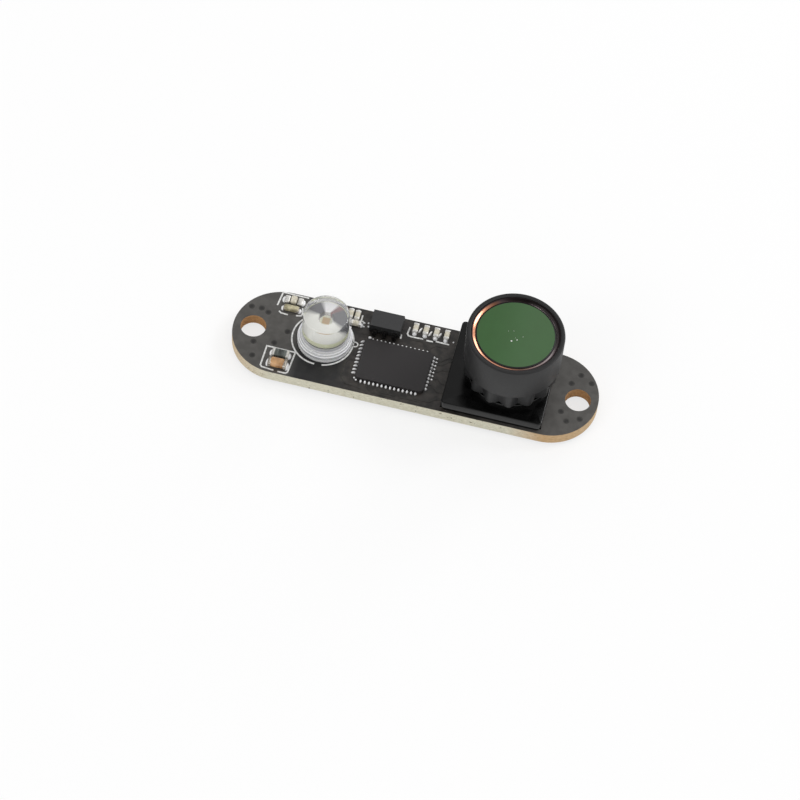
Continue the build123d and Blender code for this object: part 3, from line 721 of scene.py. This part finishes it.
def make_barrel():
    """The lens barrel in one turned piece: a foot with rings for its thread, toothed grip, smooth head
    and stepped bore."""
    bm = bmesh.new()
    z = TOP
    thread = []
    for turn in range(round((GRIP_BOTTOM - THREAD_END - 0.1) / THREAD_PITCH)):
        foot = 0.98 + turn * THREAD_PITCH
        thread += [(THREAD_RADIUS - THREAD_DEPTH, foot + THREAD_PITCH / 2),
                   (THREAD_RADIUS, foot + THREAD_PITCH)]
    profile = [(LOWER_BORE, THREAD_END), (THREAD_RADIUS, THREAD_END), *thread,
               (THREAD_RADIUS - 0.05, GRIP_BOTTOM)]
    grip = [(GRIP_ROOT_RADIUS, GRIP_BOTTOM), (GRIP_ROOT_RADIUS, HEAD_BOTTOM - HEAD_RELIEF)]
    head = [(GRIP_ROOT_RADIUS - 0.1, HEAD_BOTTOM - HEAD_RELIEF), (GRIP_ROOT_RADIUS - 0.1, HEAD_BOTTOM),
            (HEAD_RADIUS, HEAD_BOTTOM), (HEAD_RADIUS, LENS_HIGH.z - z), (RIM_RADIUS, LENS_HIGH.z - z),
            *BORE_STEPS]
    verts = lathe(bm, LENS_AT, [(r, z + h) for r, h in profile + grip + head], steps=GRIP_STEPS)
    centre = Vector((LENS_AT.x, LENS_AT.y, 0))
    for vert in verts:
        out = vert.co - centre
        radius = hypot(out.x, out.y)
        if abs(radius - GRIP_ROOT_RADIUS) < WELD and GRIP_BOTTOM - WELD < vert.co.z - z < HEAD_BOTTOM + WELD:
            scale = grip_radius(Vector((out.x, out.y)).angle_signed(Vector((1, 0)))) / radius
            vert.co.x = centre.x + out.x * scale
            vert.co.y = centre.y + out.y * scale
    bmesh.ops.recalc_face_normals(bm, faces=bm.faces)
    rim = [e for e in sharp_edges(verts, 50) if min(v.co.z for v in e.verts) > LENS_HIGH.z - WELD]
    outer = [e for e in rim if (e.verts[0].co.xy - LENS_AT).length > HEAD_RADIUS - 0.1]
    soften(bm, outer, HEAD_EDGE, 5)
    inner = [e for e in rim if e.is_valid and (e.verts[0].co.xy - LENS_AT).length < RIM_RADIUS + 0.1]
    soften(bm, inner, RIM_EDGE, 3)
    foot = [e for e in bm.edges if len(e.link_faces) == 2 and e.calc_face_angle() > radians(50)
            and all(abs(v.co.z - z - HEAD_BOTTOM) < WELD for v in e.verts)
            and (e.verts[0].co.xy - LENS_AT).length > HEAD_RADIUS - 0.05]
    soften(bm, foot, FOOT_EDGE, 3)
    finish_piece("threaded_lens_barrel", bm, "barrel_plastic", "lens_barrel")


def make_front_glass():
    """Flat coated window with a bevelled step, a black ring of painted shade over its bevel and the ring
    round it.
    """
    bm = bmesh.new()
    edge = (GLASS_HIGH.x - GLASS_LOW.x) / 2
    step = RING_LOW.z
    clear, top = GLASS_CLEAR_RADIUS, GLASS_HIGH.z
    profile = [(0, GLASS_LOW.z), (edge, GLASS_LOW.z), (edge, step), (clear, step), (clear - 0.1, top),
               (0, top)]
    verts = lathe(bm, LENS_AT, profile, closed=False)
    soften(bm, [e for e in sharp_edges(verts, 30) if min(v.co.z for v in e.verts) > step - WELD], 0.03, 3)
    finish_piece("coated_front_window", bm, "coated_glass", "front_glass")
    bm = bmesh.new()
    lathe(bm, LENS_AT, [(clear - 0.11, top - 0.01), (clear - 0.08, top + 0.01), (clear + 0.02, step + 0.04),
                        (clear + 0.02, step)])
    finish_piece("window_bevel_shade_ring", bm, "coated_glass", look=BEVEL_PAINTED_SHADE)
    bm = bmesh.new()
    profile = [(clear + 0.04, step), (edge, step), (edge, RING_HIGH.z), (edge - 0.05, RING_HIGH.z),
               (clear + 0.04, step + 0.06)]
    verts = lathe(bm, LENS_AT, profile)
    soften(bm, sharp_edges(verts, 20), 0.02, 2)
    finish_piece("window_ring", bm, "copper_ring", "glass_ring")


# Painted glints on the window: place and radius
WINDOW_PAINTED_GLINTS = [(8.61, -0.55, 0.085), (9.07, -0.31, 0.06), (8.9, -0.12, 0.03), (8.6, 0.59, 0.035),
          (9.53, 0.16, 0.03), (8.1, 0.45, 0.025)]


def make_window_glints():
    """Pale specks on the window: painted glints."""
    bm = bmesh.new()
    for x, y, radius in WINDOW_PAINTED_GLINTS:
        place = Matrix.Translation((x, y, GLASS_HIGH.z)) @ Matrix.Diagonal((radius, radius * 0.8, 0.012, 1))
        bmesh.ops.create_icosphere(bm, subdivisions=2, radius=1.0, matrix=place)
    finish_piece("window_painted_glints", bm, "white_ink", crease=60)


# Lens holder

HOLDER_LOW, HOLDER_HIGH = box_mm("lens_holder")
BASE_HALF = (HOLDER_HIGH.x - HOLDER_LOW.x) / 2
BASE_AT = ((HOLDER_LOW + HOLDER_HIGH) / 2).xy
BASE_TOP = 1.3
SKIRT_HEIGHT = 0.55
SKIRT_INSET_X = 0.12
SKIRT_INSET_Y = 0.2
ROOM_HALF = 3.8
ROOM_HEIGHT = 0.75
BORE_RADIUS = 3.53
COLLAR_RADIUS = 3.97
COLLAR_TOP = HOLDER_HIGH.z - TOP
PEG_RADIUS = 0.5
PEG_OFFSET_X = 3.95
PEG_OFFSET_Y = 3.45
BASE_CORNER = 0.35
BASE_EDGE = 0.12
COLLAR_EDGE = 0.06


def make_holder():
    """Square moulded base with a bored top, set-in skirt and pegs, and the collar round the lens. It is
    turned first, and its rings from far outwards are then drawn in to squares."""
    bm = bmesh.new()
    far = 20.0
    rings = [(BORE_RADIUS, ROOM_HEIGHT, None), (BORE_RADIUS, BASE_TOP, None),
             (far, BASE_TOP, (BASE_HALF, BASE_HALF)), (far + 1, SKIRT_HEIGHT, (BASE_HALF, BASE_HALF)),
             (far + 2, SKIRT_HEIGHT, (BASE_HALF - SKIRT_INSET_X, BASE_HALF - SKIRT_INSET_Y)),
             (far + 3, 0.0, (BASE_HALF - SKIRT_INSET_X, BASE_HALF - SKIRT_INSET_Y)),
             (far + 4, 0.0, (ROOM_HALF, ROOM_HALF)), (far + 5, ROOM_HEIGHT, (ROOM_HALF, ROOM_HALF))]
    verts = lathe(bm, LENS_AT, [(r, TOP + h) for r, h, _ in rings])
    squares = {round(r): half for r, _, half in rings if half}
    for vert in verts:
        out = vert.co.xy - LENS_AT
        half = squares.get(round(out.length))
        if half:
            out /= max(abs(out.x), abs(out.y))
            vert.co.xy = BASE_AT + Vector((out.x * half[0], out.y * half[1]))
    bmesh.ops.recalc_face_normals(bm, faces=bm.faces)
    corners = [e for e in sharp_edges(verts, 60) if abs(e.verts[0].co.z - e.verts[1].co.z) > 0.3
               and abs(e.verts[0].co.x - BASE_AT.x) > BASE_HALF - 0.3
               and (e.verts[0].co.xy - e.verts[1].co.xy).length < WELD]
    soften(bm, corners, BASE_CORNER, 5)
    top = [e for e in bm.edges if len(e.link_faces) == 2 and e.calc_face_angle() > radians(50)
           and all(abs(v.co.z - TOP - BASE_TOP) < WELD for v in e.verts)
           and max(abs(e.verts[0].co.x - BASE_AT.x), abs(e.verts[0].co.y - BASE_AT.y)) > BASE_HALF - 0.5]
    soften(bm, top, BASE_EDGE, 4)
    collar = lathe(bm, LENS_AT, [(BORE_RADIUS, TOP + BASE_TOP), (BORE_RADIUS, TOP + COLLAR_TOP),
                                 (COLLAR_RADIUS, TOP + COLLAR_TOP), (COLLAR_RADIUS, TOP + BASE_TOP)])
    bmesh.ops.recalc_face_normals(bm, faces=bm.faces)
    lip = [e for e in sharp_edges(collar, 60) if min(v.co.z for v in e.verts) > TOP + COLLAR_TOP - WELD]
    soften(bm, lip, COLLAR_EDGE, 3)
    for side in (-1, 1):
        x = BASE_AT.x + side * PEG_OFFSET_X
        y = LENS_AT.y - side * PEG_OFFSET_Y
        place = Matrix.Translation((x, y, (HOLDER_LOW.z + TOP) / 2))
        bmesh.ops.create_cone(bm, cap_ends=True, segments=40, radius1=PEG_RADIUS, radius2=PEG_RADIUS,
                              depth=TOP - HOLDER_LOW.z, matrix=place)
    finish_piece("lens_mount", bm, "holder_plastic", "lens_holder")


# Solder and chip parts

PAD_PITCH = 0.4
LONG_SIDE = 14
SHORT_SIDE = 10
SHORT_SIDE_SHIFT = 0.18


def bead(bm, x, y, way, reach, width, height):
    """Half an egg of solder standing on the board. way is the direction of its reach in degrees."""
    place = Matrix.Translation((x, y, TOP)) @ Matrix.Rotation(radians(way), 4, "Z") @ Matrix.Diagonal(
        (reach, width, height, 1))
    verts = bmesh.ops.create_uvsphere(bm, u_segments=14, v_segments=8, radius=1.0, matrix=place)["verts"]
    edges = {edge for vert in verts for edge in vert.link_edges}
    faces = {face for vert in verts for face in vert.link_faces}
    cut = bmesh.ops.bisect_plane(bm, geom=[*verts, *edges, *faces], dist=WELD, plane_co=(0, 0, TOP),
                                 plane_no=(0, 0, 1), clear_inner=True)["geom_cut"]
    bmesh.ops.holes_fill(bm, edges=[e for e in cut if isinstance(e, bmesh.types.BMEdge)], sides=0)


STRAY_SOLDER = [(-6.72, 2.3, 0.1), (-5.62, 3.09, 0.12), (-5.2, 3.18, 0.1), (-5.13, 2.8, 0.1),
                (-5.55, 2.7, 0.09), (-4.7, 1.62, 0.16), (-5.05, -3.12, 0.1), (-4.85, -3.3, 0.1),
                (2.95, 3.2, 0.09), (-4.01, 2.74, 0.1), (-2.9, 2.7, 0.1)]
ROW_FILLETS = [(-0.34, 3.69), (0.64, 3.56), (1.52, 3.59)]


def make_stray_solder():
    """Small solder bumps at test points and pins, and slim ones between the row capacitors, in white painted
    highlight.
    """
    bm = bmesh.new()
    for x, y, radius in STRAY_SOLDER:
        bead(bm, x, y, 0, radius, radius, radius * 0.8)
    for x, y in ROW_FILLETS:
        bead(bm, x, y, 68, 0.34, 0.1, 0.2)
    finish_piece("solder_bumps", bm, "solder", crease=60)


def make_chip_solder():
    """Solder at the main chip's pads, in white painted highlight: round beads in front, long ones at the
    left, thin ones behind.
    """
    low, high = box_mm("main_chip")
    middle = (low + high) / 2
    bm = bmesh.new()
    for i in range(LONG_SIDE):
        x = middle.x + (i - (LONG_SIDE - 1) / 2) * PAD_PITCH
        bead(bm, x, low.y - 0.13, -90, 0.15, 0.11, 0.24)
        bead(bm, x, high.y + 0.24, 90, 0.12, 0.09, 0.12)
    for i in range(SHORT_SIDE):
        y = middle.y + (i - (SHORT_SIDE - 1) / 2) * PAD_PITCH
        bead(bm, low.x - 0.2, y + SHORT_SIDE_SHIFT, 205 if i > 4 else 190, 0.24, 0.08, 0.2)
        bead(bm, high.x + 0.14, y + SHORT_SIDE_SHIFT, 0, 0.13, 0.115, 0.24)
        if i > 2:
            bead(bm, high.x + 0.43, y + SHORT_SIDE_SHIFT, 0, 0.1, 0.08, 0.07)
    finish_piece("pad_solder", bm, "solder", "main_chip_solder", crease=60)


CAP_GROWTH = 0.01
CAP_EDGE = 0.11
FILLET_REACH = 0.24


def make_chip_part(node, slot, edge, plating=None, trim=0.0, cap_height=1.0):
    """One kind of chip part: a pillowed ceramic body, rounded end caps and a solder fillet at each. trim is
    how far the body stops short of the ends, and cap_height the share of its height that a cap keeps."""
    body = bmesh.new()
    caps = bmesh.new()
    fillets = bmesh.new()
    bodies = solid_boxes(node)
    for low, high in bodies:
        size = high - low
        short = Vector((1, 0, 0) if size.x > size.y else (0, 1, 0)) * trim
        block(body, low + short, high - short, min(edge, size.z / 2.5), 4)
    for low, high in solid_boxes(f"{node}_ends"):
        size = high - low
        middle = (low + high) / 2
        home = min(((a + b) / 2 for a, b in bodies), key=lambda place: (place - middle).length)
        side_on = abs(middle.x - home.x) > abs(middle.y - home.y)
        sign = 1 if (middle.x > home.x if side_on else middle.y > home.y) else -1
        reach, width = (size.x, size.y) if side_on else (size.y, size.x)
        top = Vector((0, 0, size.z * (1 - cap_height)))
        block(caps, low - Vector((CAP_GROWTH, CAP_GROWTH, 0)), high + Vector((CAP_GROWTH,) * 3) - top,
              min(CAP_EDGE, size.z / 4, reach / 3), 4)
        x = middle.x + (sign * reach / 2 if side_on else 0)
        y = middle.y + (0 if side_on else sign * reach / 2)
        bead(fillets, x, y, 0 if side_on else 90, FILLET_REACH, width * 0.46, size.z * 0.62 * cap_height)
    finish_piece(f"{node}_core", body, slot, node)
    finish_piece(f"{node}_plating", caps, "tinned_ends", f"{node}_ends", look=plating)
    finish_piece(f"{node}_fillets", fillets, "solder", crease=60)


# Print on the board

INK_WIDTH = 0.15
INK_THICKNESS = 0.02
LAMP_RING_AT = Vector((-8.9, 0.25))
LAMP_RING_RADIUS = 2.88


def arc(centre, radius, start, end, steps):
    """Points on a circle from one angle to another, in degrees."""
    return [(centre[0] + radius * cos(radians(start + (end - start) * i / steps)),
             centre[1] + radius * sin(radians(start + (end - start) * i / steps))) for i in range(steps + 1)]


INK_LINES = [
    arc(LAMP_RING_AT, LAMP_RING_RADIUS, -78, 268, 72),
    [(-12.05, -4.36), (-11.3, -4.36), (-11.14, -4.2), (-10.98, -1.87), (-13.72, -1.84), (-13.76, -4.05),
     (-13.6, -4.22), (-12.44, -4.33)],
    [(-13.95, 2.89), (-13.78, 4.48), (-11.28, 4.45)],
    [(-13.63, 2.3), (-13.4, 2.12), (-12.74, 2.09)],
    [(-11.97, 2.18), (-11.5, 2.3), (-11.42, 2.59), (-11.58, 3.18)],
    [(-1.35, 3.81), (-1.43, 2.99), (-1.3, 2.82), (-1.06, 2.77), (0.13, 2.8)],
    [(0.44, 2.73), (1.08, 2.75)],
    [(1.32, 2.86), (2.61, 2.82)],
    [(-1.93, 2.3), (-1.95, 2.75)],
    [(-5.95, 3.9), (-5.95, 3.25), (-5.7, 3.2)],
]
PIN_ONE_AT = Vector((-5.86, 0.5))


def ribbon(bm, points, width, thickness, base, closed=False):
    """A flat strip of a real width that follows points on the board's top face."""
    count = len(points)
    rows = []
    for index, point in enumerate(points):
        here = Vector(point)
        before = Vector(points[index - 1]) if index or closed else None
        after = Vector(points[(index + 1) % count]) if index < count - 1 or closed else None
        ways = [before and here - before, after and after - here]
        ways = [way.normalized() for way in ways if way]
        along = sum(ways, Vector((0, 0))).normalized()
        miter = 1 / max(0.6, along.dot(ways[0]))
        rows.append((here, Vector((-along.y, along.x)) * width / 2 * miter))
    left = [bm.verts.new((*(p + n), base)) for p, n in rows]
    pairs = list(zip(left, left[1:])) + ([(left[-1], left[0])] if closed else [])
    edges = [bm.edges.new(pair) for pair in pairs]
    moved = bmesh.ops.extrude_edge_only(bm, edges=edges)["geom"]
    right = [v for v in moved if isinstance(v, bmesh.types.BMVert)]
    offset = {tuple(round(c, 6) for c in (p + n)): n for p, n in rows}
    for vert in right:
        n = offset[tuple(round(c, 6) for c in vert.co.xy)]
        vert.co.xy -= n * 2
    faces = [f for f in moved if isinstance(f, bmesh.types.BMFace)]
    bmesh.ops.recalc_face_normals(bm, faces=faces)
    raised = bmesh.ops.extrude_face_region(bm, geom=faces)["geom"]
    lifted = [v for v in raised if isinstance(v, bmesh.types.BMVert)]
    bmesh.ops.translate(bm, vec=(0, 0, thickness), verts=lifted)


def make_print():
    """White lines round the lamp and the chip parts."""
    bm = bmesh.new()
    for line in INK_LINES:
        ribbon(bm, line, INK_WIDTH, INK_THICKNESS, TOP)
    ribbon(bm, arc(PIN_ONE_AT, 0.26, 0, 345, 23), 0.12, INK_THICKNESS, TOP, closed=True)
    finish_piece("printed_lines", bm, "white_ink")


VIA_PLACES = [(-16.22, 2.14), (-15.27, 2.17), (-14.55, 1.88), (-12.27, 0.22), (-15.05, -1.68),
              (-13.15, -1.33), (-14.77, -3.2), (15.25, 2.79), (14.56, 1.67), (16.37, 2.14), (14.23, -1.65),
              (14.92, -2.56), (16.07, -2.02)]
VIA_RADIUS = 0.17
VIA_BROW_RADIUS = 0.29


def make_vias():
    """Plugged vias on both faces: a dot inside a ring, both painted darker than the mask as painted shade."""
    for name, inner, outer, look in (("via_middles_painted_shade", 0.0, VIA_RADIUS, VIA_MIDDLE_PAINTED_SHADE),
                                     ("via_rings_painted_shade", VIA_RADIUS, VIA_BROW_RADIUS, VIA_RING_PAINTED_SHADE)):
        bm = bmesh.new()
        for x, y in VIA_PLACES:
            for face, up in ((TOP, 1), (0, -1)):
                lathe(bm, (x, y), [(outer, face), (outer, face + up * 0.004), (inner, face + up * 0.008),
                                   (inner, face - up * 0.01), (outer, face - up * 0.01)], steps=24)
        finish_piece(name, bm, "board_mask", look=look)


TRACK_WIDTH = 0.16
TRACK_RELIEF = 0.03
TRACKS = [
    [(1.62, 0.8), (2.3, 0.8), (2.9, 1.4), (3.25, 1.4)],
    [(1.62, 0.4), (2.45, 0.4), (3.05, 1.0), (3.25, 1.0)],
    [(1.62, -0.4), (2.3, -0.4), (2.6, -0.1), (3.25, -0.1)],
    [(1.62, -1.2), (2.5, -1.2), (2.9, -1.6), (3.25, -1.6)],
    [(1.62, -2.0), (2.1, -2.0), (2.7, -2.6), (3.25, -2.6)],
    [(0.9, 1.5), (1.0, 2.0), (1.5, 2.4), (2.6, 2.4)],
    [(0.5, 1.5), (0.6, 2.1), (0.2, 2.5), (-0.9, 2.5)],
    [(-3.5, -3.6), (-3.5, -4.0), (-3.1, -4.3), (-1.2, -4.3)],
    [(-2.7, -3.6), (-2.7, -3.9), (-2.5, -4.05), (-0.9, -4.05)],
    [(-0.7, -3.6), (-0.7, -3.85), (-0.4, -4.1), (1.4, -4.1)],
    [(0.5, -3.6), (0.9, -3.9), (2.2, -3.9), (2.8, -3.4), (3.25, -3.4)],
    [(-4.7, 1.55), (-4.9, 1.9), (-5.6, 1.95)],
    [(-5.5, -1.2), (-5.9, -1.2), (-6.3, -1.6), (-6.3, -3.2), (-5.8, -3.9), (-4.2, -4.1)],
]


def make_tracks():
    """Copper tracks under the solder mask, a little proud of the board."""
    bm = bmesh.new()
    for line in TRACKS:
        ribbon(bm, line, TRACK_WIDTH, TRACK_RELIEF, TOP)
    finish_piece("covered_tracks", bm, "board_mask", look=MASK_FILM)


# Put together

make_camera()
make_world()
make_soft_box("back_box", **BACK_BOX)
make_soft_box("low_box", **LOW_BOX)
make_soft_box("front_box", **FRONT_BOX)
make_floor()

OTHER_LOOKS = {"regulator_leads": GREY_TIN_PAINTED_SHADE, "regulator_body": REGULATOR_COMPOUND_PAINTED_SHADE, "main_chip_pads": GREY_TIN_PAINTED_SHADE}
node_slots = {part["node"]: part["material_slot"] for part in frame["record"]["subparts"]}
for name, node in frame["nodes"].items():
    for index in range(len(node.material_slots)):
        node.material_slots[index].material = OTHER_LOOKS.get(name, MATERIALS[node_slots[name]])

make_lamp()
make_barrel()
make_front_glass()
make_holder()
make_chip_part("front_capacitor", "brown_ceramic", 0.28, plating=BROWN_TIN_PAINTED_SHADE, trim=0.12, cap_height=0.9)
make_chip_part("front_resistor", "dark_resistor", 0.12)
make_chip_part("corner_ferrite", "pale_ceramic", 0.14, trim=0.55, cap_height=0.6)
make_chip_part("corner_capacitor", "olive_ceramic", 0.18, plating=BROWN_TIN_PAINTED_SHADE, cap_height=0.75)
for name in ("lamp_resistors", "clock_capacitor", "row_capacitors"):
    make_chip_part(name, node_slots[name], 0.16)
make_chip_solder()
make_stray_solder()
make_tracks()
make_window_glints()
make_print()
make_vias()

bpy.context.scene.view_settings.view_transform = "Standard"
